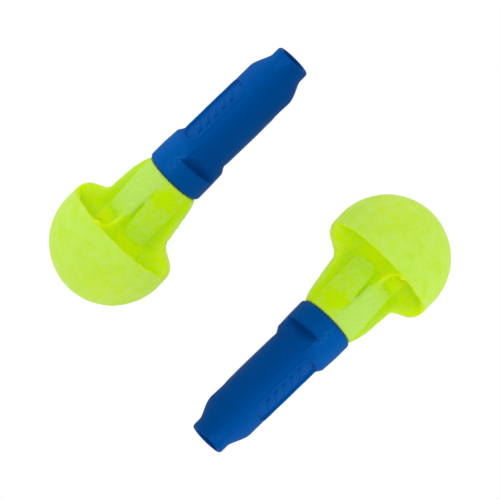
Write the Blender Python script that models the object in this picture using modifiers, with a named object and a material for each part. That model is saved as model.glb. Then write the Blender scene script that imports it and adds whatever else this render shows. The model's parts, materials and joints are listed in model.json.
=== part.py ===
"""A pair of uncorded push-in ear plugs: a moulded foam cap and neck on a soft plastic grip.

Each plug is three pieces on one axis: the foam tip, a stiff stem core that runs up its middle,
and the grip that the stem core is pressed into. The two plugs lie side by side on a table, head
to tail, each resting on the rim of its dome and on the shoulder of its grip.

A plug is modelled upright in its own frame: the origin is the centre of the dome's sphere, +Z
runs along the plug towards the grip, and -Y is the plug's front. An empty then lays it down.
"""

from math import atan2, cos, pi, radians, sin

import bmesh
import bpy
from mathutils import Matrix, Vector

MM = 0.001
MERGE = 0.001 * MM

# The two plugs on the table: each dome's centre, measured from the middle of the pair.
PAIR_HALF_LENGTH = 10.79 * MM
PAIR_HALF_WIDTH = 12.12 * MM

# Foam tip. Heights are above the centre of the dome's sphere unless they say otherwise, and
# angles here and below are counted from the plug's front towards its right.
DOME_RADIUS = 7.5 * MM
RIM_HEIGHT = 1.45 * MM
RIM_WALL = 1.05 * MM
POCKET_DEPTH = 2.4 * MM
FLARE_HEIGHT = 3.4 * MM
NECK_LENGTH = 8.85 * MM
NECK_BASE_RADIUS = 4.55 * MM
NECK_TOP_RADIUS = 3.62 * MM
NECK_CORE_RADIUS = 3.5 * MM
THIN_WEB = 0.9 * MM
THIN_WEB_ANGLE = radians(-15)
BROAD_WEB = 2.2 * MM
BROAD_WEB_ANGLE = radians(81)

# Stem core.
STEM_RADIUS = 1.25 * MM
STEM_DEPTH_IN_DOME = 3.0 * MM
STEM_DEPTH_IN_GRIP = 10.5 * MM

# Grip.
SEAT_GAP = 0.3 * MM
RING_RADIUS = 3.8 * MM
RING_LENGTH = 2.6 * MM
LIP_ROUNDING = 0.6 * MM
COLLAR_CORNER = 3.7 * MM
COLLAR_LENGTH = 1.9 * MM
COLLAR_STEP = 0.9 * MM
BODY_CORNER = 3.21 * MM
BODY_LENGTH = 10.4 * MM
SHOULDER_LENGTH = 2.9 * MM
SOCKET_RADIUS = 2.21 * MM
SOCKET_LENGTH = 1.25 * MM
SOCKET_ROUNDING = 0.2 * MM
CORD_HOLE_RADIUS = 1.65 * MM
CORD_HOLE_DEPTH = 6.5 * MM
CORNER_ANGLE = radians(-9)
COLLAR_SQUARENESS = 3.0
BODY_SQUARENESS = 2.3
ROUND = 2.0

# Thumb panels, one on each of two opposite flats, with plain raised bars in them.
PANEL_WIDTH = 3.3 * MM
PANEL_LENGTH = 9.0 * MM
PANEL_START = 0.4 * MM
PANEL_DEPTH = 0.15 * MM
PANEL_ROUNDING = 1.2 * MM
BAR_COUNT = 5
BAR_PITCH = 1.3 * MM
BAR_WIDTH = 0.5 * MM
BAR_LENGTH = 1.7 * MM
BAR_HEIGHT = 0.05 * MM
BAR_ROOT = 0.5 * MM

# Collar notches, one on each of the other two flats.
NOTCH_DEPTH = 0.55 * MM
NOTCH_WIDTH = 3.45 * MM
NOTCH_OFFSET = -0.87 * MM

SIDES = 40
DOME_RINGS = 9

# Heights along the plug's axis that more than one piece uses.
NECK_TOP = RIM_HEIGHT + NECK_LENGTH
COLLAR_FACE = NECK_TOP + SEAT_GAP
RING_TOP = COLLAR_FACE + RING_LENGTH
COLLAR_TOP = RING_TOP + COLLAR_LENGTH
BODY_START = COLLAR_TOP + COLLAR_STEP
BODY_END = BODY_START + BODY_LENGTH
SOCKET_START = BODY_END + SHOULDER_LENGTH
GRIP_END = SOCKET_START + SOCKET_LENGTH
STEM_BORE_RADIUS = STEM_RADIUS + SEAT_GAP


def clear_scene():
    """Remove whatever the scene holds."""
    for item in list(bpy.data.objects):
        bpy.data.objects.remove(item)


def new_collection(name):
    """A collection linked to the scene."""
    collection = bpy.data.collections.new(name)
    bpy.context.scene.collection.children.link(collection)
    return collection


def make_material(name, colour, roughness):
    """A plain Principled material."""
    material = bpy.data.materials.new(name)
    material.use_nodes = True
    shader = material.node_tree.nodes["Principled BSDF"]
    shader.inputs["Base Color"].default_value = (*colour, 1)
    shader.inputs["Roughness"].default_value = roughness
    shader.inputs["Metallic"].default_value = 0
    material.diffuse_color = (*colour, 1)
    return material


def bezier(start, start_handle, end_handle, end, count):
    """Points along a cubic curve, without its first point."""
    points = []
    for step in range(1, count + 1):
        t = step / count
        weights = ((1 - t) ** 3, 3 * t * (1 - t) ** 2, 3 * t * t * (1 - t), t**3)
        corners = (start, start_handle, end_handle, end)
        points.append(tuple(sum(w * c[i] for w, c in zip(weights, corners)) for i in (0, 1)))
    return points


def arc(centre, radius, first, last, count):
    """Points (radius, height) round part of a circle, its first point included."""
    turn = (last - first) / count
    return [
        (centre[0] + radius * cos(first + turn * i), centre[1] + radius * sin(first + turn * i))
        for i in range(count + 1)
    ]


class Plug:
    """Where one plug's pieces and their cutters go."""

    def __init__(self, name, heading, parts, cutters, materials):
        self.name = name
        self.parts = parts
        self.cutters = cutters
        self.materials = materials
        self.empty = bpy.data.objects.new(name, None)
        self.empty.empty_display_size = DOME_RADIUS
        parts.objects.link(self.empty)
        place = Vector((-PAIR_HALF_LENGTH, -PAIR_HALF_WIDTH, resting_height()))
        lay_down = Matrix.Rotation(pi / 2 + resting_tilt(), 4, "Y") @ Matrix.Rotation(pi / 2, 4, "Z")
        about_middle = Matrix.Rotation(heading, 4, "Z")
        self.empty.location = about_middle @ place
        self.empty.rotation_euler = (about_middle @ lay_down).to_euler()

    def add(self, name, mesh, material=None):
        """Put a mesh on this plug: a part if it has a material, or else a cutter."""
        piece = bpy.data.objects.new(f"{self.name}_{name}", mesh)
        piece.parent = self.empty
        if material:
            mesh.materials.append(self.materials[material])
            self.parts.objects.link(piece)
        else:
            self.cutters.objects.link(piece)
            piece.hide_render = True
            piece.display_type = "WIRE"
        return piece

    def turned(self, name, profile, closed=False, material=None):
        """Turn a profile of (radius, height) points, which runs down its outer side."""
        mesh = bpy.data.meshes.new(name)
        edges = [(i, i + 1) for i in range(len(profile) - 1)]
        if closed:
            edges.append((len(profile) - 1, 0))
        mesh.from_pydata([(radius, 0, height) for radius, height in profile], edges, [])
        piece = self.add(name, mesh, material)
        screw = piece.modifiers.new("turn", "SCREW")
        screw.steps = screw.render_steps = SIDES
        screw.use_merge_vertices = True
        screw.merge_threshold = MERGE
        return piece

    def block(self, name, low, high, angle=0.0, rounding=0.0, lean=0.0, copies=1, pitch=0.0):
        """A box tool from low to high, turned about the plug's axis.

        rounding rounds its edges that run front to back, lean moves the top edge of its back
        face forwards, and copies stand above it, one pitch apart.
        """
        shape = bmesh.new()
        bmesh.ops.create_cube(shape, size=1)
        middle = (Vector(low) + Vector(high)) / 2
        size = Vector(high) - Vector(low)
        for vertex in shape.verts:
            above_and_behind = vertex.co.z > 0 and vertex.co.y > 0
            vertex.co = middle + Vector(a * b for a, b in zip(vertex.co, size))
            if above_and_behind:
                vertex.co.y -= lean
        if rounding:
            deep = [e for e in shape.edges if abs((e.verts[0].co - e.verts[1].co).y) > size.y / 2]
            bmesh.ops.bevel(
                shape, geom=deep, offset=rounding, offset_type="OFFSET", segments=4, profile=0.5,
                affect="EDGES",
            )
        first = shape.verts[:] + shape.edges[:] + shape.faces[:]
        for number in range(1, copies):
            copied = bmesh.ops.duplicate(shape, geom=first)["geom"]
            copied_verts = [item for item in copied if isinstance(item, bmesh.types.BMVert)]
            bmesh.ops.translate(shape, verts=copied_verts, vec=(0, 0, number * pitch))
        bmesh.ops.rotate(shape, verts=shape.verts, matrix=Matrix.Rotation(angle, 3, "Z"))
        mesh = bpy.data.meshes.new(name)
        shape.to_mesh(mesh)
        shape.free()
        return self.add(name, mesh)


def apply_boolean(piece, tool, operation="DIFFERENCE"):
    """Cut, join or intersect a piece with another object."""
    cut = piece.modifiers.new(f"{operation.lower()}_{tool.name}", "BOOLEAN")
    cut.operation = operation
    cut.object = tool


def shade_smooth(piece):
    """Shade round surfaces smooth and keep the real edges sharp."""
    piece.data.shade_smooth()
    piece.data.set_sharp_from_angle(angle=radians(35))


def resting_tilt():
    """How far the plug's axis dips when it rests on its rim and on the grip's lowest corner.

    That is the shoulder, or the collar or the socket's end on a grip that is thin between them.
    """
    corners = (
        (COLLAR_CORNER, COLLAR_TOP),
        (BODY_CORNER, BODY_END),
        (SOCKET_RADIUS, GRIP_END - SOCKET_ROUNDING),
    )
    return min(atan2(DOME_RADIUS - radius, height - RIM_HEIGHT) for radius, height in corners)


def resting_height():
    """How high the dome's centre is when the plug rests on its rim and its grip."""
    return RIM_HEIGHT * sin(resting_tilt()) + DOME_RADIUS * cos(resting_tilt())


def flat_radius(corner, squareness):
    """The distance from the axis to a flat of a rounded square."""
    return corner / 2 ** (0.5 - 1 / squareness)


def make_foam_tip(plug):
    """The mushroom: a dome and a flared neck, with four pockets scooped under its rim."""
    rim = (DOME_RADIUS, RIM_HEIGHT)
    neck_foot = (NECK_BASE_RADIUS, RIM_HEIGHT + FLARE_HEIGHT)
    neck_top = (NECK_TOP_RADIUS, NECK_TOP)
    bore_bottom = -STEM_DEPTH_IN_DOME - SEAT_GAP
    profile = [(0, bore_bottom), (STEM_BORE_RADIUS, bore_bottom), (STEM_BORE_RADIUS, NECK_TOP), neck_top]
    profile += bezier(
        neck_top,
        (NECK_TOP_RADIUS + 0.4 * MM, NECK_TOP - 0.6 * MM),
        (NECK_BASE_RADIUS - 0.25 * MM, neck_foot[1] + 2.6 * MM),
        neck_foot,
        4,
    )
    profile += bezier(
        neck_foot,
        (NECK_BASE_RADIUS + 0.05 * MM, neck_foot[1] - 1.7 * MM),
        (DOME_RADIUS - 0.2 * MM, RIM_HEIGHT + 2.5 * MM),
        rim,
        6,
    )
    profile += arc((0, 0), DOME_RADIUS, 0, -pi / 2, DOME_RINGS)
    profile[-1] = (0, -DOME_RADIUS)
    foam = plug.turned("foam_tip", profile, material="foam")
    apply_boolean(foam, make_pocket_cutter(plug))
    return foam


def make_pocket_cutter(plug):
    """The four pockets: a turned groove round the neck, less the webs left between them."""
    outside = DOME_RADIUS + 1 * MM
    rim_inside = (DOME_RADIUS - RIM_WALL, RIM_HEIGHT)
    floor_handle = RIM_HEIGHT - POCKET_DEPTH * 4 / 3
    core_foot = (NECK_CORE_RADIUS, RIM_HEIGHT)
    run_out = (NECK_BASE_RADIUS, NECK_TOP - 0.4 * MM)
    profile = [(outside, run_out[1]), (outside, RIM_HEIGHT), rim_inside]
    profile += bezier(
        rim_inside,
        (rim_inside[0], floor_handle),
        (NECK_CORE_RADIUS, floor_handle),
        core_foot,
        6,
    )
    profile += [(NECK_CORE_RADIUS, NECK_TOP - 2 * MM), run_out]
    groove = plug.turned("pocket_groove", profile, closed=True)
    bottom = RIM_HEIGHT - POCKET_DEPTH - 1 * MM
    for name, width, angle in (
        ("thin_webs", THIN_WEB, THIN_WEB_ANGLE),
        ("broad_webs", BROAD_WEB, BROAD_WEB_ANGLE),
    ):
        low = (-width / 2, -outside, bottom)
        high = (width / 2, outside, NECK_TOP)
        apply_boolean(groove, plug.block(name, low, high, angle))
    return groove


def make_stem_core(plug):
    """The stiff rod that joins the foam to the grip."""
    top = COLLAR_FACE + STEM_DEPTH_IN_GRIP
    chamfer = 0.25 * MM
    profile = [(0, top), (STEM_RADIUS - chamfer, top), (STEM_RADIUS, top - chamfer)]
    profile += arc((0, STEM_RADIUS - STEM_DEPTH_IN_DOME), STEM_RADIUS, 0, -pi / 2, 3)
    profile[-1] = (0, -STEM_DEPTH_IN_DOME)
    return plug.turned("stem_core", profile, material="stem")


def grip_stations():
    """The grip's sections from its collar to its cord socket: (corner radius, height, squareness)."""
    lip_centre = (RING_RADIUS - LIP_ROUNDING, COLLAR_FACE + LIP_ROUNDING)
    ring = arc(lip_centre, LIP_ROUNDING, -pi / 2, 0, 3)
    edge = 0.1 * MM
    ring += [(RING_RADIUS, RING_TOP - edge), (COLLAR_CORNER, RING_TOP)]
    stations = [(radius, height, ROUND) for radius, height in ring]
    stations += [
        (COLLAR_CORNER, RING_TOP + edge, COLLAR_SQUARENESS),
        (COLLAR_CORNER, COLLAR_TOP, COLLAR_SQUARENESS),
    ]
    for step in range(1, 4):
        share = step / 3
        ease = (1 - cos(pi * share)) / 2
        stations.append(
            (
                COLLAR_CORNER + (BODY_CORNER - COLLAR_CORNER) * ease,
                COLLAR_TOP + COLLAR_STEP * share,
                COLLAR_SQUARENESS + (BODY_SQUARENESS - COLLAR_SQUARENESS) * ease,
            )
        )
    stations.append((BODY_CORNER, BODY_END, BODY_SQUARENESS))
    shoulder = bezier(
        (BODY_CORNER, BODY_END),
        (BODY_CORNER, BODY_END + 0.35 * SHOULDER_LENGTH),
        (SOCKET_RADIUS, SOCKET_START - 0.2 * SHOULDER_LENGTH),
        (SOCKET_RADIUS, SOCKET_START),
        5,
    )
    for step, (radius, height) in enumerate(shoulder, start=1):
        squareness = BODY_SQUARENESS + (ROUND - BODY_SQUARENESS) * step / len(shoulder)
        stations.append((radius, height, squareness))
    end_centre = (SOCKET_RADIUS - SOCKET_ROUNDING, GRIP_END - SOCKET_ROUNDING)
    stations += [(r, z, ROUND) for r, z in arc(end_centre, SOCKET_ROUNDING, 0, pi / 2, 2)]
    return stations


def section_ring(corner, height, squareness):
    """One rounded-square section, its corners turned to CORNER_ANGLE from the front."""
    flat = flat_radius(corner, squareness)
    ring = []
    for i in range(SIDES):
        angle = 2 * pi * i / SIDES
        from_flat = angle - CORNER_ANGLE - pi / 4
        spread = abs(cos(from_flat)) ** squareness + abs(sin(from_flat)) ** squareness
        radius = flat / spread ** (1 / squareness)
        ring.append((radius * sin(angle), -radius * cos(angle), height))
    return ring


def make_grip(plug):
    """The grip: a loft from a round ring, through a squarish collar and body, to a round socket."""
    shape = bmesh.new()
    rings = [[shape.verts.new(co) for co in section_ring(*station)] for station in grip_stations()]
    for lower, upper in zip(rings, rings[1:]):
        for i in range(SIDES):
            j = (i + 1) % SIDES
            shape.faces.new((lower[i], lower[j], upper[j], upper[i]))
    shape.faces.new(reversed(rings[0]))
    shape.faces.new(rings[-1])
    bmesh.ops.recalc_face_normals(shape, faces=shape.faces)
    mesh = bpy.data.meshes.new("grip")
    shape.to_mesh(mesh)
    shape.free()
    grip = plug.add("grip", mesh, "grip")

    past = 1 * MM
    bore_top = COLLAR_FACE + STEM_DEPTH_IN_GRIP + SEAT_GAP
    bore = [(0, bore_top), (STEM_BORE_RADIUS, bore_top)]
    bore += [(STEM_BORE_RADIUS, COLLAR_FACE - past), (0, COLLAR_FACE - past)]
    hole_bottom = GRIP_END - CORD_HOLE_DEPTH
    hole = [(0, GRIP_END + past), (CORD_HOLE_RADIUS, GRIP_END + past)]
    hole += [(CORD_HOLE_RADIUS, hole_bottom), (0, hole_bottom)]
    apply_boolean(grip, plug.turned("stem_bore", bore))
    apply_boolean(grip, plug.turned("cord_hole", hole))
    for side, angle in (("front", CORNER_ANGLE - pi / 4), ("back", CORNER_ANGLE + 3 * pi / 4)):
        apply_boolean(grip, make_panel_cutter(plug, side, angle))
        apply_boolean(grip, make_bars(plug, side, angle), "UNION")
    for side, angle in (("front", CORNER_ANGLE + pi / 4), ("back", CORNER_ANGLE - 3 * pi / 4)):
        apply_boolean(grip, make_notch_cutter(plug, side, angle))
    return grip


def make_panel_cutter(plug, side, angle):
    """A shallow thumb panel that follows the body's curve."""
    floor = flat_radius(BODY_CORNER, BODY_SQUARENESS) - PANEL_DEPTH
    low = COLLAR_TOP + PANEL_START
    high = low + PANEL_LENGTH
    past = 1 * MM
    panel = plug.block(
        f"{side}_panel",
        (-PANEL_WIDTH / 2, -COLLAR_CORNER - past, low),
        (PANEL_WIDTH / 2, -past, high),
        angle,
        rounding=PANEL_ROUNDING,
    )
    core = [(0, high + past), (floor, high + past), (floor, low - past), (0, low - past)]
    apply_boolean(panel, plug.turned(f"{side}_panel_core", core))
    return panel


def make_bars(plug, side, angle):
    """The plain raised bars in a thumb panel, one mesh of equal blocks that stand in its floor."""
    floor = flat_radius(BODY_CORNER, BODY_SQUARENESS) - PANEL_DEPTH
    middle = COLLAR_TOP + PANEL_START + PANEL_LENGTH / 2
    first = middle - (BAR_COUNT - 1) / 2 * BAR_PITCH
    return plug.block(
        f"{side}_bars",
        (-BAR_LENGTH / 2, -floor - BAR_HEIGHT, first - BAR_WIDTH / 2),
        (BAR_LENGTH / 2, -floor + BAR_ROOT, first + BAR_WIDTH / 2),
        angle,
        copies=BAR_COUNT,
        pitch=BAR_PITCH,
    )


def make_notch_cutter(plug, side, angle):
    """A wedge cut into the collar's flat just above the ring, deepest at the ring."""
    flat = flat_radius(COLLAR_CORNER, COLLAR_SQUARENESS)
    clear_of_flat = 0.15 * MM
    return plug.block(
        f"{side}_notch",
        (NOTCH_OFFSET - NOTCH_WIDTH / 2, -RING_RADIUS - 1 * MM, RING_TOP - 0.15 * MM),
        (NOTCH_OFFSET + NOTCH_WIDTH / 2, -flat + NOTCH_DEPTH, COLLAR_TOP),
        angle,
        lean=NOTCH_DEPTH + clear_of_flat,
    )


def main():
    """Build both plugs."""
    clear_scene()
    parts = new_collection("foam_ear_plugs")
    cutters = new_collection("cutters")
    materials = {
        "foam": make_material("foam", (0.56, 0.87, 0.03), 0.9),
        "stem": make_material("stem", (0.7, 0.72, 0.7), 0.5),
        "grip": make_material("grip", (0.0, 0.08, 0.32), 0.55),
    }
    for name, heading in (("plug_a", 0), ("plug_b", pi)):
        plug = Plug(name, heading, parts, cutters, materials)
        for make in (make_foam_tip, make_stem_core, make_grip):
            shade_smooth(make(plug))


main()
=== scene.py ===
"""The looks of a pair of push-in foam ear plugs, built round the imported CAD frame.

Each plug has a moulded foam tip and a moulded grip here, finer than the CAD solids that they
stand for; the hidden stem cores are the CAD nodes themselves. A moulding is worked out in its
plug's own frame: the origin is the centre of the dome's sphere, +Z runs along the plug towards
the grip, -Y is the plug's front and +X its right. Angles round the plug are counted from the
front towards the right. A moulding's surface is one grid of points: its rows run along the plug
and its columns run round it. Every moulded feature but the slot in the foam's neck is there twice,
half a turn apart.
"""

import json
from math import cos, pi, radians, sin

import bpy
import numpy as np
from mathutils import Matrix, Vector, noise


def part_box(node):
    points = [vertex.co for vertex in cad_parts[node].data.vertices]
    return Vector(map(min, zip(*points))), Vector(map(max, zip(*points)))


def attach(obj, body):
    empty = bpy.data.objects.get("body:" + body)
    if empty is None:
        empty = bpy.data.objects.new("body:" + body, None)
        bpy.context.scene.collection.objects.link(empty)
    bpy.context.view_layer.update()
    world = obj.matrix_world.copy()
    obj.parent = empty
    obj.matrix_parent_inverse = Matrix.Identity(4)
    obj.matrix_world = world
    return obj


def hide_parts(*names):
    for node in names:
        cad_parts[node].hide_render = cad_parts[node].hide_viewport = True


MM = 0.001
HALF_TURNS = (0, pi)

# The last ring of points round a grid's pole.
POLE_RADIUS = 0.1 * MM

# Foam tip: heights are above the dome's centre.
RIM_HEIGHT = 1.45 * MM
RIM_WALL = 0.95 * MM
POCKET_DEPTH = 2.4 * MM
NECK_FOOT = 4.85 * MM
NECK_TOP = 10.48 * MM
NECK_BASE_RADIUS = 4.62 * MM
NECK_TOP_RADIUS = 3.6 * MM
NECK_CORE_RADIUS = 3.52 * MM
NECK_EDGE = 0.15 * MM
BORE_RADIUS = 1.55 * MM
FOAM_BORE_BOTTOM = -3.3 * MM

# Webs between the pockets: half widths, and the soft width of their sides.
THIN_WEB = 0.3 * MM
BROAD_WEB = 1.0 * MM
WEB_SIDE = 0.22 * MM
BROAD_WEB_ANGLE = radians(81)

# The foam neck's moulded skins, and the slot between them.
SKIN_CORNER = 0.95 * MM
SKIN_SOFT_EDGE = 0.28 * MM
SKIN_RAGGEDNESS = 0.26 * MM
LEFT_SKIN_HEIGHT = 0.14 * MM
RIGHT_SKIN_HEIGHT = 0.22 * MM
SLOT_ANGLE = radians(-6.5)
SLOT_MIDDLE = 5.5 * MM
SLOT_HALF_LENGTH = 1.3 * MM
SLOT_HALF_WIDTH = 0.24 * MM
SLOT_DEPTH = 0.34 * MM

# Grip: heights along the plug.
COLLAR_FACE = 10.52 * MM
RING_TOP = 13.2 * MM
COLLAR_TOP = 15.1 * MM
BODY_START = 16.0 * MM
BODY_END = 26.4 * MM
SOCKET_START = 29.3 * MM
GRIP_END = 30.55 * MM
RING_RADIUS = 3.8 * MM
COLLAR_CORNER = 3.7 * MM
BODY_CORNER = 3.21 * MM
SOCKET_RADIUS = 2.26 * MM
SOCKET_ROUNDING = 0.36 * MM
CORD_HOLE_RADIUS = 1.65 * MM
CORD_HOLE_DEPTH = 6.5 * MM
GRIP_BORE_TOP = 21.4 * MM
CORNER_ANGLE = radians(-9)

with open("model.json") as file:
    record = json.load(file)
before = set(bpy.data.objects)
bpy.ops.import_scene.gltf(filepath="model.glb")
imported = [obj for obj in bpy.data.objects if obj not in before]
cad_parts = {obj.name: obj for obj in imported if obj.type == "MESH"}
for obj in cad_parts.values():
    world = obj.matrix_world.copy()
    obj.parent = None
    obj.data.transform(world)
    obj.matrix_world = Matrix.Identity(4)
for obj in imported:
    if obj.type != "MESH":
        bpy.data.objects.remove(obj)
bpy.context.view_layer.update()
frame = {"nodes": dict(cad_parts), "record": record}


# ---------------------------------------------------------------- curves and grids


def smooth(low, high, value):
    """0 below low, 1 above high, and an eased step between."""
    t = np.clip((value - low) / (high - low), 0, 1)
    return t * t * (3 - 2 * t)


def hump(offset, width, power=2):
    """1 where offset is 0 and near 0 past width; a higher power has a flatter top."""
    return np.exp(-((np.abs(offset) / width) ** power))


def bezier(start, start_handle, end_handle, end, count):
    """count points along a cubic curve, without its first point."""
    t = np.linspace(0, 1, count + 1)[1:, None]
    corners = [np.array(point) for point in (start, start_handle, end_handle, end)]
    weights = ((1 - t) ** 3, 3 * t * (1 - t) ** 2, 3 * t * t * (1 - t), t**3)
    return sum(weight * corner for weight, corner in zip(weights, corners))


def arc(centre, radius, first, last, count):
    """count points round part of a circle, without its first point."""
    angle = np.linspace(first, last, count + 1)[1:]
    return np.stack([centre[0] + radius * np.cos(angle), centre[1] + radius * np.sin(angle)], 1)


def line(start, end, count):
    """count points along a straight line, without its first point."""
    t = np.linspace(0, 1, count + 1)[1:, None]
    return np.array(start) * (1 - t) + np.array(end) * t


def angle_between(angle, other):
    """The difference of two angles, from -pi to pi."""
    return (angle - other + pi) % (2 * pi) - pi


def round_points(radius, angles, height):
    """Points at these radii, angles from the plug's front, and heights."""
    return np.stack([radius * np.sin(angles), -radius * np.cos(angles), height], 2)


def noise_field(points, scale, seed, octaves=2):
    """Smooth noise from about -1 to 1 at each point, scale being the size of its lumps."""
    shift = Vector((seed * 7.3, seed * 3.1, seed * 5.7))
    flat = points.reshape(-1, 3) / scale
    values = [noise.fractal(Vector(p) + shift, 0.7, 2.0, octaves) for p in flat]
    return np.array(values).reshape(points.shape[:-1])


def grid_normals(points):
    """Outward unit normals of a grid that wraps round."""
    along = np.gradient(points, axis=0)
    around = np.roll(points, -1, axis=1) - np.roll(points, 1, axis=1)
    normals = np.cross(around, along)
    return normals / np.maximum(np.linalg.norm(normals, axis=2, keepdims=True), 1e-12)


def grid_mesh(name, points, values):
    """A closed mesh from a grid that wraps round, with a pole at each end.

    values holds each named point value, one for every grid point.
    """
    rows, columns, _ = points.shape
    first_pole, last_pole = rows * columns, rows * columns + 1
    vertices = np.vstack([points.reshape(-1, 3), points[0].mean(0), points[-1].mean(0)])
    index = np.arange(rows * columns).reshape(rows, columns)
    after = np.roll(index, -1, axis=1)
    quads = np.stack([index[:-1], after[:-1], after[1:], index[1:]], 2).reshape(-1, 4)
    start = [(first_pole, int(b), int(a)) for a, b in zip(index[0], after[0])]
    end = [(last_pole, int(a), int(b)) for a, b in zip(index[-1], after[-1])]
    mesh = bpy.data.meshes.new(name)
    mesh.from_pydata(vertices.tolist(), [], quads.tolist() + start + end)
    mesh.shade_smooth()
    for label, value in values.items():
        layer = mesh.attributes.new(label, "FLOAT", "POINT")
        poles = [value[0].mean(), value[-1].mean()]
        layer.data.foreach_set("value", np.append(value.ravel(), poles))
    return mesh


# ---------------------------------------------------------------- where the plugs lie


class Place:
    """Where one plug lies, worked out from its CAD node and the face at its grip's end."""

    def __init__(self, name, mount):
        low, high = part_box(f"{name}_foam_tip")
        axis = Vector(mount["axis"]).normalized()
        radius = (high[1] - low[1]) / 2
        dome_x = low[0] + radius if axis.x > 0 else high[0] - radius
        self.centre = Vector((dome_x, (low[1] + high[1]) / 2, high[2] - radius))
        down = Vector((0, 0, -1))
        self.front = (down - axis * down.dot(axis)).normalized()
        self.axis = axis
        self.right = (-self.front).cross(axis)
        turn = Matrix((self.right, -self.front, axis)).transposed()
        self.matrix = Matrix.Translation(self.centre) @ turn.to_4x4()
        self.name = name
        self.radius = radius
        self.outward = Vector((0, self.centre.y, 0)).normalized()


mounts = {mount["name"]: mount for mount in frame["record"]["mounts"]}
places = [
    Place("plug_a", mounts["cord_socket_face_a"]),
    Place("plug_b", mounts["cord_socket_face_b"]),
]
DOME_RADIUS = places[0].radius


# ---------------------------------------------------------------- foam tip

FOAM_COLUMNS = 360

# Rows of the foam's outline: over the dome; up the rim's wall; from the dome to the inner side of
# the rim's lip; along the neck; and the last of the neck's rows, next to the grip.
DOME_ROWS = 90
WALL_ROWS = 14
LIP_ROWS = 40
NECK_ROWS = 50
NECK_END_ROWS = 12


def bend(height):
    """How far the soft plug leans to its left, most where the foam meets the grip."""
    at_joint = smooth(0, 10 * MM, height) * (1 - smooth(COLLAR_FACE, BODY_END, height))
    at_socket = smooth(BODY_END - 2 * MM, SOCKET_START - 1 * MM, height)
    return (-0.24 * at_joint + 0.08 * at_socket) * MM


def web_outline():
    """The foam's outline over a web: up from the rim, over the flare and along the neck."""
    foot = (NECK_BASE_RADIUS, NECK_FOOT)
    top = (NECK_TOP_RADIUS, NECK_TOP - NECK_EDGE)
    outline = line((DOME_RADIUS, 0), (DOME_RADIUS, RIM_HEIGHT), WALL_ROWS)
    outline = np.vstack([outline, bezier(
        (DOME_RADIUS, RIM_HEIGHT),
        (DOME_RADIUS - 0.05 * MM, RIM_HEIGHT + 2.3 * MM),
        (NECK_BASE_RADIUS + 0.05 * MM, NECK_FOOT - 1.55 * MM),
        foot,
        96,
    )])
    outline = np.vstack([outline, bezier(
        foot,
        (NECK_BASE_RADIUS - 0.3 * MM, NECK_FOOT + 2.8 * MM),
        (NECK_TOP_RADIUS + 0.55 * MM, NECK_TOP - 1.0 * MM),
        top,
        NECK_ROWS,
    )])
    return outline


def pocket_outline():
    """The foam's outline through a pocket, with as many points as the web's outline."""
    rim_inside = (DOME_RADIUS - RIM_WALL, RIM_HEIGHT - 0.2 * MM)
    floor = RIM_HEIGHT - POCKET_DEPTH * 4 / 3
    core_foot = (NECK_CORE_RADIUS, NECK_FOOT)
    outline = line((DOME_RADIUS, 0), (DOME_RADIUS, RIM_HEIGHT - 0.3 * MM), 10)
    outline = np.vstack([outline, bezier(
        (DOME_RADIUS, RIM_HEIGHT - 0.3 * MM),
        (DOME_RADIUS, RIM_HEIGHT + 0.12 * MM),
        (DOME_RADIUS - 0.6 * RIM_WALL, RIM_HEIGHT + 0.1 * MM),
        rim_inside,
        14,
    )])
    outline = np.vstack([outline, bezier(
        rim_inside,
        (rim_inside[0] - 0.1 * MM, floor),
        (NECK_CORE_RADIUS + 0.2 * MM, floor),
        (NECK_CORE_RADIUS, RIM_HEIGHT + 0.8 * MM),
        60,
    )])
    outline = np.vstack([outline, line(outline[-1], core_foot, 26)])
    outline = np.vstack([outline, bezier(
        core_foot,
        (NECK_CORE_RADIUS, NECK_FOOT + 2.5 * MM),
        (NECK_CORE_RADIUS + 0.25 * MM, NECK_TOP - 1.0 * MM),
        (NECK_TOP_RADIUS, NECK_TOP - NECK_EDGE),
        NECK_ROWS,
    )])
    return outline


def crest_angle(height):
    """Where the thin web's crest runs: it leans to the left towards the rim."""
    rise = smooth(RIM_HEIGHT, NECK_FOOT, height)
    return radians(-22) + radians(9) * rise + radians(3) * smooth(NECK_FOOT, NECK_TOP, height)


def web_share(angle, web):
    """1 on a web, 0 in a pocket, at each row of the web's outline and each angle.

    A thin web meets the rim as a ridge and sinks to a low crest along the neck, steep on its
    right and easy on its left.
    """
    radius, height = web[:, :1], web[:, 1:]
    on_neck = smooth(NECK_FOOT - 1.6 * MM, NECK_FOOT + 0.2 * MM, height)
    tallest = 1 - 0.3 * smooth(RIM_HEIGHT, RIM_HEIGHT + 1.2 * MM, height) - 0.22 * on_neck
    share = np.zeros((len(web), len(angle)))
    for turn in HALF_TURNS:
        turned = angle_between(angle[None, :], crest_angle(height) + turn)
        across = np.where(np.abs(turned) < pi / 2, radius * np.sin(turned), 1.0)
        easy = WEB_SIDE + 0.35 * MM + 1.9 * MM * on_neck
        steep = WEB_SIDE + 0.35 * MM * (1 - on_neck)
        side = np.where(across < 0, easy, steep)
        thin = 1 - smooth(THIN_WEB - WEB_SIDE, THIN_WEB + side, np.abs(across))
        share = np.maximum(share, thin * tallest)
        turned = angle_between(angle[None, :], BROAD_WEB_ANGLE + turn)
        across = np.where(np.abs(turned) < pi / 2, radius * np.abs(np.sin(turned)), 1.0)
        broad = 1 - smooth(BROAD_WEB - WEB_SIDE, BROAD_WEB + 2 * WEB_SIDE, across)
        share = np.maximum(share, broad)
    return share


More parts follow.
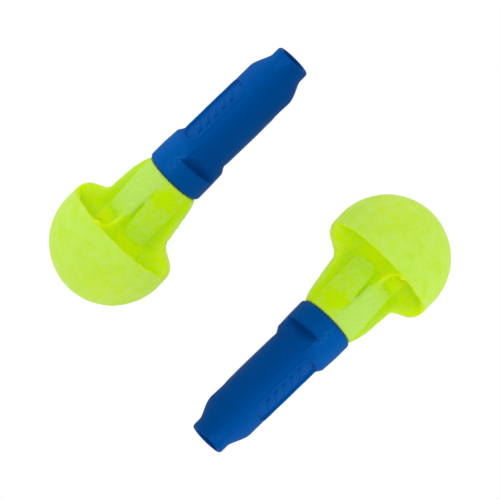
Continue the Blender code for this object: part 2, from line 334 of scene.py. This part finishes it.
def foam_bore_outline():
    """From the neck's top edge over its end face and down the stem's bore."""
    edge_centre = (NECK_TOP_RADIUS - NECK_EDGE, NECK_TOP - NECK_EDGE)
    top_edge = arc(edge_centre, NECK_EDGE, 0, pi / 2, 4)
    return np.vstack([
        top_edge,
        line(top_edge[-1], (BORE_RADIUS, NECK_TOP), 4),
        line((BORE_RADIUS, NECK_TOP), (BORE_RADIUS, FOAM_BORE_BOTTOM), 12),
        line((BORE_RADIUS, FOAM_BORE_BOTTOM), (POLE_RADIUS, FOAM_BORE_BOTTOM), 3),
    ])


def neck_skins(angle, height, ragged):
    """The skins moulded on the neck: 1 on the two left ones, and 1 on the two right ones."""
    lean = radians(10) * smooth(3 * MM, 10 * MM, height)
    lean -= radians(6) * (1 - smooth(2.5 * MM, 5 * MM, height))
    skins = []
    for first, last, low in (
        (radians(-72), radians(-11) + lean, 3.25 * MM),
        (radians(-4), radians(55), 2.4 * MM),
    ):
        share = np.zeros(angle.shape)
        half = NECK_CORE_RADIUS * (last - first) / 2
        for turn in HALF_TURNS:
            across = NECK_CORE_RADIUS * angle_between(angle, (first + last) / 2 + turn)
            side = np.maximum(np.abs(across) - (half - SKIN_CORNER), 0)
            below = np.maximum(low + SKIN_CORNER - height, 0)
            outside = np.hypot(side, below) - SKIN_CORNER + SKIN_RAGGEDNESS * ragged
            share = np.maximum(share, 1 - smooth(-SKIN_SOFT_EDGE, SKIN_SOFT_EDGE, outside))
        skins.append(share)
    return skins


class FoamSurface:
    """The foam's surface: radius and height at each point, and what each point is part of."""

    def __init__(self):
        angle = np.linspace(0, 2 * pi, FOAM_COLUMNS, endpoint=False)
        web, pocket = web_outline(), pocket_outline()
        share = web_share(angle, web)[..., None]
        middle = pocket[:, None, :] * (1 - share) + web[:, None, :] * share
        dome = arc((0, 0), DOME_RADIUS, -pi / 2, 0, DOME_ROWS)
        bore = foam_bore_outline()
        wide = np.ones((1, FOAM_COLUMNS, 1))
        outline = np.concatenate([dome[:, None] * wide, middle, bore[:, None] * wide])
        self.radius, self.height = outline[..., 0], outline[..., 1]
        self.angles = np.broadcast_to(angle, self.radius.shape)

        row = np.arange(len(outline))[:, None]
        start, end = len(dome), len(dome) + len(web)
        under_rim = (row >= start + LIP_ROWS) & (row < end - NECK_END_ROWS)
        self.off_dome = np.where(row < start + WALL_ROWS, 0.0, 1.0)
        self.under_rim = np.where(under_rim, 1.0, 0.0)
        self.outside = np.where(row < end, 1.0, 0.0)
        self.webs = np.zeros(self.radius.shape)
        self.webs[start:end] = share[..., 0]
        self.on_neck = self.off_dome * (self.height > 1.5 * MM) * (self.radius < 4.6 * MM)
        self.fading = 1 - smooth(8.0 * MM, 9.8 * MM, self.height)

        self.lumps = noise_field(self.points(), 3.2 * MM, 1)
        self.blisters = noise_field(self.points(), 0.9 * MM, 3)
        self.grain = noise_field(self.points(), 0.45 * MM, 2)
        left, right = neck_skins(self.angles, self.height, self.blisters)
        self.left, self.right = left * self.on_neck, right * self.on_neck

    def points(self):
        """The grid of points."""
        return round_points(self.radius, self.angles, self.height)

    def add_relief(self):
        """Raise the neck's skins and press in the slot beside the thin web."""
        skins = LEFT_SKIN_HEIGHT * self.left + RIGHT_SKIN_HEIGHT * self.right
        across = NECK_CORE_RADIUS * angle_between(self.angles, SLOT_ANGLE)
        slot = hump(across, SLOT_HALF_WIDTH) * hump(self.height - SLOT_MIDDLE, SLOT_HALF_LENGTH, 4)
        relief = skins * (1 - self.webs) * self.fading - SLOT_DEPTH * slot
        self.radius = self.radius + relief * self.under_rim * self.on_neck

    def roughness(self):
        """How far the foam's lumps, blisters and grain stand out at each point."""
        soft = 0.5 + 0.5 * smooth(-DOME_RADIUS, 0, self.height)
        blistered = self.under_rim * (0.03 + 0.04 * (self.left + self.right) * self.fading)
        grainy = 0.008 + 0.02 * self.under_rim
        outward = 0.05 * soft * self.lumps + blistered * self.blisters + grainy * self.grain
        return (0.02 + outward) * self.outside * MM

    def skin(self):
        """How much pale moulded skin each point has, with painted paleness down the neck's sides
        and painted shade on the cap.
        """
        angles, height = self.angles, self.height
        low_neck = 1 - smooth(NECK_FOOT - 0.5 * MM, NECK_FOOT + 0.5 * MM, height)
        worn_foot = 0.65 + 0.35 * smooth(3.6 * MM, 6 * MM, height)
        worn_middle = smooth(7 * MM, 8.2 * MM, height) - smooth(8.8 * MM, 9.6 * MM, height)
        skin = 0.95 * self.left * worn_foot + 0.56 * self.right * (1 - 0.2 * worn_middle)
        stripe, painted_cap_shade = np.zeros(angles.shape), np.zeros(angles.shape)
        for turn in HALF_TURNS:
            # Painted reflection: paler skin down the neck's two sides, at right angles to its
            # front.
            beside = hump(angle_between(angles, radians(-86) + turn), radians(11))
            skin = np.maximum(skin, 0.6 * beside * self.on_neck * (1 - low_neck))
            across = self.radius * angle_between(angles, BROAD_WEB_ANGLE + turn)
            broad_web = hump(across, 1.2 * MM, 4) * self.off_dome * (height > 0)
            skin = np.maximum(skin, 0.68 * broad_web)
            patch = hump(angle_between(angles, radians(22) + turn), radians(20))
            skin -= 0.3 * patch * hump(height - 8.7 * MM, 1.0 * MM) * self.on_neck
            across = self.radius * angle_between(angles, crest_angle(height) + turn)
            stripe += hump(across, 0.42 * MM) * low_neck * self.off_dome * (self.webs > 0.1)
            # The cap is made less pale on its front right and back left: painted shade.
            painted_cap_shade += hump(angle_between(angles, radians(28) + turn), radians(34))
        crest = smooth(0.3, 0.6, self.webs) * smooth(NECK_FOOT - 1.6 * MM, NECK_FOOT, height)
        skin = np.maximum(skin, np.maximum(0.6 * self.webs * crest, 0.58 * stripe))
        painted_cap_shade *= hump(height + 3.2 * MM, 3 * MM)
        return np.clip(np.where(self.off_dome > 0, skin, 0.92 - 0.17 * painted_cap_shade), 0, 1)

    def neck(self):
        """1 on the neck, whose foam is greener, and 0 on the cap and in the pockets."""
        on_core = 1 - smooth(4.0 * MM, 4.9 * MM, self.radius)
        return self.off_dome * smooth(2.0 * MM, 3.2 * MM, self.height) * on_core

    def painted_pocket_shade(self):
        """1 in the deepest part of the pocket left of the neck, where the foam is painted darker
        and yellower as painted shade.
        """
        painted_pocket_shade = sum(
            hump(angle_between(self.angles, radians(-50) + turn), radians(17))
            for turn in HALF_TURNS
        )
        return painted_pocket_shade * self.off_dome * (1 - smooth(0.2 * MM, 2.0 * MM, self.height))


def make_foam_mesh():
    """The foam tip's mesh, with the point values that its material reads."""
    surface = FoamSurface()
    surface.add_relief()
    points = surface.points()
    points = points + grid_normals(points) * surface.roughness()[..., None]
    rim_circle = round_points(7 * MM, surface.angles, 0 * surface.angles)
    near_rim = hump(surface.height - RIM_HEIGHT, 0.5 * MM) * (surface.radius > 6.2 * MM)
    points[..., 2] += 0.12 * MM * noise_field(rim_circle, 1.6 * MM, 5) * near_rim
    points[..., 0] += bend(surface.height)
    values = {"skin": surface.skin(), "neck": surface.neck(), "painted_pocket_shade": surface.painted_pocket_shade()}
    return grid_mesh("moulded_foam", points, values)


# ---------------------------------------------------------------- grip

GRIP_COLUMNS = 300
LIP_ROUNDING = 0.55 * MM
ROUND = 2.0
BODY_SQUARENESS = 2.3
PANEL_ANGLE = CORNER_ANGLE - pi / 4
NOTCH_ANGLE = CORNER_ANGLE + radians(38)
NOTCH_FLOOR = 2.75 * MM
FACET_ANGLE = radians(-27)
MARK_ANGLE = radians(-21)
MARK_HEIGHT = 13.6 * MM


def grip_outline():
    """The grip's outline: corner radius, height and squareness, from the collar to the socket."""
    lip_centre = (RING_RADIUS - LIP_ROUNDING, COLLAR_FACE + LIP_ROUNDING)
    parts = [arc(lip_centre, LIP_ROUNDING, -pi / 2, 0, 12)]
    parts.append(line(parts[-1][-1], (RING_RADIUS, RING_TOP - 0.3 * MM), 14))
    parts.append(line(parts[-1][-1], (RING_RADIUS - 0.03 * MM, RING_TOP + 0.3 * MM), 18))
    parts.append(line(parts[-1][-1], (COLLAR_CORNER, COLLAR_TOP - 0.25 * MM), 16))
    parts.append(bezier(
        parts[-1][-1],
        (COLLAR_CORNER, COLLAR_TOP + 0.1 * MM),
        (BODY_CORNER + 0.02 * MM, COLLAR_TOP + 0.35 * MM),
        (BODY_CORNER, BODY_START),
        16,
    ))
    parts.append(line(parts[-1][-1], (BODY_CORNER, BODY_END), 112))
    parts.append(bezier(
        (BODY_CORNER, BODY_END),
        (BODY_CORNER, BODY_END + 1.0 * MM),
        (SOCKET_RADIUS, SOCKET_START - 0.6 * MM),
        (SOCKET_RADIUS, SOCKET_START),
        30,
    ))
    edge = SOCKET_ROUNDING
    parts.append(line(parts[-1][-1], (SOCKET_RADIUS, GRIP_END - edge), 12))
    parts.append(arc((SOCKET_RADIUS - edge, GRIP_END - edge), edge, 0, pi / 2, 6))
    outline = np.vstack(parts)
    height = outline[:, 1]
    squared = smooth(RING_TOP - 0.4 * MM, BODY_START, height)
    squared = squared - smooth(BODY_END, SOCKET_START, height)
    return np.column_stack([outline, ROUND + (BODY_SQUARENESS - ROUND) * squared])


def panel_relief(angle, height):
    """The thumb panels' sunk floor and plain raised bars, as a change of radius."""
    relief = np.zeros(angle.shape)
    middle, half_length = 20.0 * MM, 4.5 * MM
    half_width, corner = 1.68 * MM, 1.2 * MM
    bar_count, bar_spacing, bar_slant = 5, 1.3 * MM, 0.25
    bar_half_width, bar_half_length = 0.24 * MM, 0.95 * MM
    for turn in HALF_TURNS:
        across = BODY_CORNER * angle_between(angle, PANEL_ANGLE + turn)
        along = height - middle
        side = np.maximum(np.abs(across) - (half_width - corner), 0)
        end = np.maximum(np.abs(along) - (half_length - corner), 0)
        outside = np.hypot(side, end) - corner
        sunk = 1 - smooth(-0.22 * MM, 0.03 * MM, outside)
        lip = hump(outside - 0.1 * MM, 0.12 * MM)
        bars = np.zeros(angle.shape)
        for number in range(bar_count):
            bar_middle = (number - (bar_count - 1) / 2) * bar_spacing
            bar_along = np.abs(along - bar_middle + bar_slant * across)
            bar_out = np.maximum(bar_along - bar_half_width, np.abs(across) - bar_half_length)
            bars = np.maximum(bars, 1 - smooth(-0.16 * MM, 0.14 * MM, bar_out))
        relief += (-0.36 * sunk + 0.08 * lip + 0.19 * bars) * MM
    return relief


def cut_flat(radius, angle, face_angle, distance, mask):
    """Bring a surface down to a plane that faces face_angle, where the mask is 1."""
    facing = np.cos(angle_between(angle, face_angle))
    plane = np.where(facing > 0.3, distance / np.maximum(facing, 0.3), 1.0)
    return radius + (np.minimum(radius, plane) - radius) * mask


def rounded_square(corner, squareness, angle):
    """The radius of a rounded square at each angle; corner is its radius at the corners."""
    from_flat = angle - CORNER_ANGLE - pi / 4
    spread = np.abs(np.cos(from_flat)) ** squareness + np.abs(np.sin(from_flat)) ** squareness
    return corner / 2 ** (0.5 - 1 / squareness) / spread ** (1 / squareness)


def cut_notches(radius, angles, height):
    """Cut the two notches above the collar's ring, and the two facets at the socket."""
    above_facet = smooth(SOCKET_START - 1.0 * MM, SOCKET_START - 0.7 * MM, height)
    facet = SOCKET_RADIUS + 0.1 * MM - 0.2 * (height - SOCKET_START + 0.8 * MM)
    for turn in HALF_TURNS:
        across = np.sin(angle_between(angles, NOTCH_ANGLE + turn))
        ledge = RING_TOP + (0.18 + 0.08 * across) * MM
        up = (height - ledge) / (COLLAR_TOP - RING_TOP)
        floor = NOTCH_FLOOR + (COLLAR_CORNER - NOTCH_FLOOR) * np.clip(up, 0, 1) ** 1.2
        above_ledge = smooth(-0.02, 0.03, up) * (1 - smooth(1.0, 1.2, up))
        radius = cut_flat(radius, angles, NOTCH_ANGLE + turn, floor, above_ledge)
        radius = cut_flat(radius, angles, FACET_ANGLE + turn, facet, above_facet)
    return radius


def add_mould_marks(radius, angles, height):
    """Press in the small round mark on the collar, and raise the parting line."""
    on_collar = smooth(RING_TOP - 0.5 * MM, RING_TOP, height)
    on_collar = on_collar * (1 - smooth(COLLAR_TOP, BODY_START, height))
    for turn in HALF_TURNS:
        across = radius * angle_between(angles, MARK_ANGLE + turn)
        mark = 1 - smooth(0.14 * MM, 0.3 * MM, np.hypot(across, height - MARK_HEIGHT))
        radius = radius - 0.06 * MM * mark
        across = radius * angle_between(angles, CORNER_ANGLE + turn)
        radius = radius + (0.008 + 0.09 * on_collar) * MM * hump(across, 0.15 * MM)
    return radius


def grip_bore_outline():
    """From the top of the stem's bore down it and out over the collar's face."""
    mouth = (BORE_RADIUS, COLLAR_FACE)
    return np.vstack([
        line((POLE_RADIUS, GRIP_BORE_TOP), (BORE_RADIUS, GRIP_BORE_TOP), 3),
        line((BORE_RADIUS, GRIP_BORE_TOP), mouth, 16),
        line(mouth, (RING_RADIUS - LIP_ROUNDING, COLLAR_FACE), 8)[:-1],
    ])


def cord_hole_outline():
    """From the socket's end face over the hole's rounded mouth and down to its floor."""
    edge, draft = 0.2 * MM, 0.03 * MM
    floor = GRIP_END - CORD_HOLE_DEPTH
    end_face = line(
        (SOCKET_RADIUS - SOCKET_ROUNDING, GRIP_END), (CORD_HOLE_RADIUS + edge, GRIP_END), 4
    )
    return np.vstack([
        end_face,
        arc((CORD_HOLE_RADIUS + edge, GRIP_END - edge), edge, pi / 2, pi, 4),
        line((CORD_HOLE_RADIUS, GRIP_END - edge), (CORD_HOLE_RADIUS - draft, floor), 26),
        line((CORD_HOLE_RADIUS, floor), (POLE_RADIUS, floor), 5),
    ])


def grip_values(angles, height):
    """The point values that the grip's material reads: its ring's painted light, and its painted
    highlights.
    """
    at_notch, painted_highlight = np.zeros(height.shape), np.zeros(height.shape)
    for turn in HALF_TURNS:
        beside = angle_between(angles, NOTCH_ANGLE + turn)
        at_notch = np.maximum(at_notch, hump(beside, radians(42), 6))
        # Painted highlights: a pale band down the ring beside the corner, and a pale spot on the
        # socket's facet.
        for angle, width, middle, length, power in (
            (radians(-17), radians(9), 12.6 * MM, 1.5 * MM, 4),
            (radians(-24), radians(8), 29.5 * MM, 0.4 * MM, 2),
        ):
            across = hump(angle_between(angles, angle + turn), width)
            painted_highlight += across * hump(height - middle, length, power)
    # The ring's painted light reaches up over the collar, but stops near the ledge beside each
    # notch.
    ring_end = COLLAR_TOP + 0.6 * MM - (COLLAR_TOP - RING_TOP) * at_notch
    ring = smooth(COLLAR_FACE, COLLAR_FACE + 0.5 * MM, height)
    return {"ring": ring * smooth(0, 1.2 * MM, ring_end - height), "painted_highlight": painted_highlight}


def make_grip_mesh():
    """The grip's mesh, with the point values that its material reads."""
    angle = np.linspace(0, 2 * pi, GRIP_COLUMNS, endpoint=False)
    corner, height, squareness = (column[:, None] for column in grip_outline().T)
    radius = rounded_square(corner, squareness, angle[None, :])
    angles = np.broadcast_to(angle, radius.shape)
    height = np.broadcast_to(height, radius.shape)
    radius = cut_notches(radius, angles, height)
    on_body = smooth(COLLAR_TOP - 0.1 * MM, COLLAR_TOP + 0.6 * MM, height)
    radius = radius + panel_relief(angles, height) * on_body
    radius = add_mould_marks(radius, angles, height)

    bore, hole = grip_bore_outline(), cord_hole_outline()
    wide = np.ones((1, GRIP_COLUMNS))
    radius = np.vstack([bore[:, :1] * wide, radius, hole[:, :1] * wide])
    height = np.vstack([bore[:, 1:] * wide, height, hole[:, 1:] * wide])
    angles = np.broadcast_to(angle, radius.shape)
    points = round_points(radius, angles, height)
    sink = noise_field(points, 4.0 * MM, 11) * 0.03 + noise_field(points, 1.1 * MM, 12) * 0.006
    points = points + grid_normals(points) * (sink * MM)[..., None]
    points[..., 0] += bend(height)
    return grid_mesh("moulded_grip", points, grip_values(angles, height))


# ---------------------------------------------------------------- materials


class Nodes:
    """A small helper that adds and links a material's shader nodes."""

    def __init__(self, name):
        self.material = bpy.data.materials.new(name)
        self.material.use_nodes = True
        self.tree = self.material.node_tree
        self.shader = self.tree.nodes["Principled BSDF"]

    def add(self, kind, settings=None, **inputs):
        """Add a node; settings are its properties, and inputs are values or linked sockets."""
        node = self.tree.nodes.new(kind)
        for key, value in (settings or {}).items():
            setattr(node, key, value)
        for key, value in inputs.items():
            self.put(node.inputs[key.replace("_", " ")], value)
        return node

    def put(self, socket, value):
        """Set a socket to a value or link it."""
        if isinstance(value, bpy.types.NodeSocket):
            self.tree.links.new(value, socket)
        else:
            socket.default_value = value

    def noise(self, size, detail=3.0, roughness=0.6):
        """Noise on the object's own coordinates, its lumps about size metres."""
        place = self.tree.nodes.get("place") or self.add("ShaderNodeTexCoord", {"name": "place"})
        return self.add(
            "ShaderNodeTexNoise",
            Vector=place.outputs["Object"], Scale=1 / size, Detail=detail, Roughness=roughness,
        ).outputs["Fac"]

    def ramp(self, value, low, high, start=0.0, end=1.0):
        """Map a value from low..high to start..end."""
        node = self.add("ShaderNodeMapRange")
        for number, setting in enumerate((value, low, high, start, end)):
            self.put(node.inputs[number], setting)
        return node.outputs["Result"]

    def maths(self, operation, first, second):
        """A Math node."""
        node = self.add("ShaderNodeMath", {"operation": operation})
        self.put(node.inputs[0], first)
        self.put(node.inputs[1], second)
        return node.outputs[0]

    def mix(self, share, first, second):
        """Mix two colours."""
        node = self.add("ShaderNodeMix", {"data_type": "RGBA"})
        self.put(node.inputs["Factor"], share)
        self.put(node.inputs[6], first)
        self.put(node.inputs[7], second)
        return node.outputs[2]

    def bump(self, height, distance, strength=1.0, under=None):
        """A bump, its full height distance metres."""
        node = self.add("ShaderNodeBump", Strength=strength, Distance=distance, Height=height)
        if under:
            self.put(node.inputs["Normal"], under)
        return node.outputs["Normal"]


def foam_material():
    """Lime foam: a pale moulded skin, worn through in patches, over a more saturated body.

    Its faint glow is painted light, standing in for its fluorescent dye; its deepest pocket has
    painted shade.
    """
    nodes = Nodes("foam")
    skin = nodes.add("ShaderNodeAttribute", {"attribute_name": "skin"}).outputs["Fac"]
    patches = nodes.noise(0.6 * MM, 4.0, 0.62)
    speck = nodes.ramp(nodes.noise(0.25 * MM, 2.0, 0.6), 0.35, 0.7)
    cloud = nodes.ramp(nodes.noise(1.5 * MM, 4.0, 0.6), 0.35, 0.65)
    pale = nodes.ramp(nodes.maths("SUBTRACT", skin, patches), -0.1, 0.36)
    neck = nodes.add("ShaderNodeAttribute", {"attribute_name": "neck"}).outputs["Fac"]
    body = nodes.mix(speck, (0.65, 0.9, 0.0, 1), (0.68, 0.94, 0.001, 1))
    painted_pocket_shade = nodes.add("ShaderNodeAttribute", {"attribute_name": "painted_pocket_shade"}).outputs["Fac"]
    # The deepest pocket is painted a darker yellow: painted shade.
    body = nodes.mix(painted_pocket_shade, body, (0.6, 0.68, 0.0, 1))
    body = nodes.mix(neck, body, (0.52, 0.85, 0.0, 1))
    clean = nodes.mix(cloud, (0.53, 0.87, 0.03, 1), (0.58, 0.9, 0.13, 1))
    clean = nodes.mix(neck, clean, (0.485, 0.82, 0.115, 1))
    skinned = nodes.mix(nodes.maths("MULTIPLY", speck, 0.35), clean, (0.58, 0.92, 0.22, 1))
    nodes.put(nodes.shader.inputs["Base Color"], nodes.mix(pale, body, skinned))
    nodes.put(nodes.shader.inputs["Roughness"], nodes.ramp(speck, 0.0, 1.0, 0.85, 0.98))
    pores = nodes.bump(nodes.noise(0.16 * MM, 3.0, 0.7), 0.05 * MM, 0.45)
    pits = nodes.bump(nodes.ramp(nodes.noise(0.5 * MM, 2.0), 0.28, 0.4), 0.05 * MM, 0.4, pores)
    nodes.put(nodes.shader.inputs["Normal"], nodes.bump(pale, 0.06 * MM, 0.5, pits))
    nodes.shader.inputs["Specular IOR Level"].default_value = 0.05
    # A faint even glow over the foam: painted light, standing in for the fluorescent dye.
    nodes.shader.inputs["Emission Color"].default_value = (1.0, 0.85, 0.0, 1)
    nodes.shader.inputs["Emission Strength"].default_value = 0.055
    nodes.shader.inputs["Sheen Weight"].default_value = 0.1
    nodes.shader.inputs["Sheen Roughness"].default_value = 0.4
    nodes.shader.inputs["Subsurface Weight"].default_value = 0.25
    nodes.shader.inputs["Subsurface Radius"].default_value = (1.0, 1.0, 0.2)
    nodes.shader.inputs["Subsurface Scale"].default_value = 0.6 * MM
    return nodes.material


def grip_material():
    """Matt blue soft plastic with a fine moulded texture and faint flow marks; the ring and
    highlights are painted light.
    """
    nodes = Nodes("grip")
    flow = nodes.ramp(nodes.noise(3.5 * MM, 3.0), 0.3, 0.7)
    colour = nodes.mix(flow, (0.0, 0.061, 0.277, 1), (0.0, 0.068, 0.3, 1))
    # The ring is painted a brighter blue in patches: painted light.
    ring = nodes.add("ShaderNodeAttribute", {"attribute_name": "ring"}).outputs["Fac"]
    ring_light_patches = nodes.ramp(nodes.noise(0.6 * MM, 4.0, 0.65), 0.45, 0.7, 0.7, 1.0)
    colour = nodes.mix(nodes.maths("MULTIPLY", ring, ring_light_patches), colour, (0.0, 0.079, 0.33, 1))
    # Pale patches down the ring and on the socket's facet: painted highlights.
    painted_highlight = nodes.add("ShaderNodeAttribute", {"attribute_name": "painted_highlight"}).outputs["Fac"]
    highlight_patches = nodes.ramp(nodes.noise(0.35 * MM, 4.0, 0.65), 0.45, 0.65, 0.0, 0.3)
    colour = nodes.mix(nodes.maths("MULTIPLY", painted_highlight, highlight_patches), colour, (0.03, 0.14, 0.42, 1))
    nodes.put(nodes.shader.inputs["Base Color"], colour)
    grain = nodes.noise(0.12 * MM, 3.0, 0.6)
    nodes.put(nodes.shader.inputs["Roughness"], nodes.ramp(grain, 0.3, 0.7, 0.36, 0.46))
    fine = nodes.bump(grain, 0.012 * MM, 0.5)
    waves = nodes.bump(nodes.noise(1.4 * MM, 2.0), 0.02 * MM, 0.5, fine)
    nodes.put(nodes.shader.inputs["Normal"], waves)
    nodes.shader.inputs["Specular IOR Level"].default_value = 0.06
    nodes.shader.inputs["Specular Tint"].default_value = (0.0, 0.4, 1.0, 1)
    return nodes.material


def stem_material():
    """Natural stiff plastic, slightly cloudy, with lengthwise flow marks."""
    nodes = Nodes("stem")
    cloud = nodes.ramp(nodes.noise(1.5 * MM, 3.0), 0.3, 0.7)
    colour = nodes.mix(cloud, (0.68, 0.7, 0.68, 1), (0.76, 0.77, 0.74, 1))
    nodes.put(nodes.shader.inputs["Base Color"], colour)
    grain = nodes.noise(0.2 * MM)
    nodes.put(nodes.shader.inputs["Roughness"], nodes.ramp(grain, 0.3, 0.7, 0.35, 0.5))
    nodes.put(nodes.shader.inputs["Normal"], nodes.bump(grain, 0.01 * MM, 0.4))
    return nodes.material


def floor_material():
    """Pale and seen from above only, so that a camera under it sees the plugs' undersides."""
    nodes = Nodes("floor")
    nodes.shader.inputs["Base Color"].default_value = (0.86, 0.86, 0.86, 1)
    nodes.shader.inputs["Roughness"].default_value = 1.0
    nodes.shader.inputs["Specular IOR Level"].default_value = 0.0
    clear = nodes.add("ShaderNodeBsdfTransparent")
    behind = nodes.add("ShaderNodeNewGeometry").outputs["Backfacing"]
    mixed = nodes.add("ShaderNodeMixShader")
    nodes.put(mixed.inputs[0], behind)
    nodes.put(mixed.inputs[1], nodes.shader.outputs[0])
    nodes.put(mixed.inputs[2], clear.outputs[0])
    output = nodes.tree.nodes["Material Output"]
    nodes.put(output.inputs["Surface"], mixed.outputs[0])
    return nodes.material


# ---------------------------------------------------------------- the scene


def add_object(name, data, matrix=None):
    """Put data in the scene as an object."""
    item = bpy.data.objects.new(name, data)
    bpy.context.scene.collection.objects.link(item)
    if matrix:
        item.matrix_world = matrix
    return item


def make_plugs():
    """The two plugs: the mouldings, and the finish of the hidden stem cores."""
    foam_mesh, grip_mesh = make_foam_mesh(), make_grip_mesh()
    foam_mesh.materials.append(foam_material())
    grip_mesh.materials.append(grip_material())
    stem = stem_material()
    for place in places:
        foam = add_object(f"{place.name}_moulded_foam", foam_mesh, place.matrix)
        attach(foam, place.name)
        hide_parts(f"{place.name}_foam_tip")
        grip = add_object(f"{place.name}_moulded_grip", grip_mesh, place.matrix)
        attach(grip, place.name)
        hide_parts(f"{place.name}_grip")
        core = frame["nodes"][f"{place.name}_stem_core"]
        for slot in core.material_slots:
            slot.material = stem
        place.pieces = (foam, grip, core)


def make_floor():
    """A round pale sheet under the plugs."""
    mesh = bpy.data.meshes.new("floor")
    reach = 1.5
    corners = [(reach * cos(radians(a)), reach * sin(radians(a)), 0) for a in range(0, 360, 5)]
    mesh.from_pydata(corners, [], [tuple(range(len(corners)))])
    mesh.materials.append(floor_material())
    floor = add_object("floor", mesh)
    floor.location.z = -0.02 * MM
    floor.visible_diffuse = False
    floor.visible_glossy = False
    floor.visible_transmission = False
    floor.visible_shadow = False


def make_lamp(name, location, target, size, power):
    """A soft square lamp that faces target."""
    data = bpy.data.lights.new(name, "AREA")
    data.shape = "SQUARE"
    data.size = size
    data.energy = power
    lamp = add_object(name, data)
    lamp.location = location
    lamp.rotation_euler = (Vector(target) - Vector(location)).to_track_quat("-Z", "Y").to_euler()
    return lamp


def make_world():
    """An even glow all round: white to the camera, and dimmer in reflections."""
    world = bpy.data.worlds.new("surround")
    bpy.context.scene.world = world
    world.use_nodes = True
    tree = world.node_tree
    glow = tree.nodes["Background"]
    backdrop = tree.nodes.new("ShaderNodeBackground")
    path = tree.nodes.new("ShaderNodeLightPath")
    mixed = tree.nodes.new("ShaderNodeMixShader")
    dim = tree.nodes.new("ShaderNodeMapRange")
    dim.inputs["To Min"].default_value = 0.85
    dim.inputs["To Max"].default_value = 0.3
    glow.inputs["Color"].default_value = (1, 1, 1, 1)
    backdrop.inputs["Color"].default_value = (1, 1, 1, 1)
    backdrop.inputs["Strength"].default_value = 1.0
    tree.links.new(path.outputs["Is Glossy Ray"], dim.inputs["Value"])
    tree.links.new(dim.outputs["Result"], glow.inputs["Strength"])
    tree.links.new(path.outputs["Is Camera Ray"], mixed.inputs[0])
    tree.links.new(glow.outputs[0], mixed.inputs[1])
    tree.links.new(backdrop.outputs[0], mixed.inputs[2])
    tree.links.new(mixed.outputs[0], tree.nodes["World Output"].inputs["Surface"])


def make_lamps():
    """A lamp overhead, and two for each plug on its own outer side that light nothing else."""
    make_lamp("overhead_lamp", (0, 0, 0.25), (0, 0, 0), 0.15, 0.1)
    for place in places:
        middle = place.centre + place.axis * 11 * MM
        beside = middle + (place.outward * 310 + place.front * 70 + place.axis * 40) * MM
        foam, grip, core = place.pieces
        for label, pieces, power in (("foam", (foam,), 0.072), ("grip", (grip, core), 0.6)):
            lamp = make_lamp(f"{place.name}_{label}_lamp", beside, middle, 0.16, power)
            lamp.data.color = (0.86, 1.0, 0.9)
            lamp.visible_glossy = False
            lit = bpy.data.collections.new(f"lit_{place.name}_{label}")
            for piece in pieces:
                lit.objects.link(piece)
            lamp.light_linking.receiver_collection = lit


def make_camera():
    """A long lens under the pair, looking straight up, turned so that the plugs lie diagonally."""
    data = bpy.data.cameras.new("camera")
    camera = add_object("camera", data)
    distance = 0.5
    across = 59.03 * MM
    data.sensor_width = 36
    data.lens = data.sensor_width * distance / across
    data.clip_start, data.clip_end = 0.01, 10
    middle = Vector((0, 0, places[0].centre.z))
    to_right = Vector((1, 1, 0)).normalized()
    to_top = Vector((1, -1, 0)).normalized()
    back = to_right.cross(to_top)
    camera.matrix_world = Matrix.Translation(middle + back * distance) @ Matrix(
        (to_right, to_top, back)
    ).transposed().to_4x4()
    bpy.context.scene.camera = camera


make_camera()
make_plugs()
make_floor()
make_world()
make_lamps()
bpy.context.scene.view_settings.view_transform = "Standard"
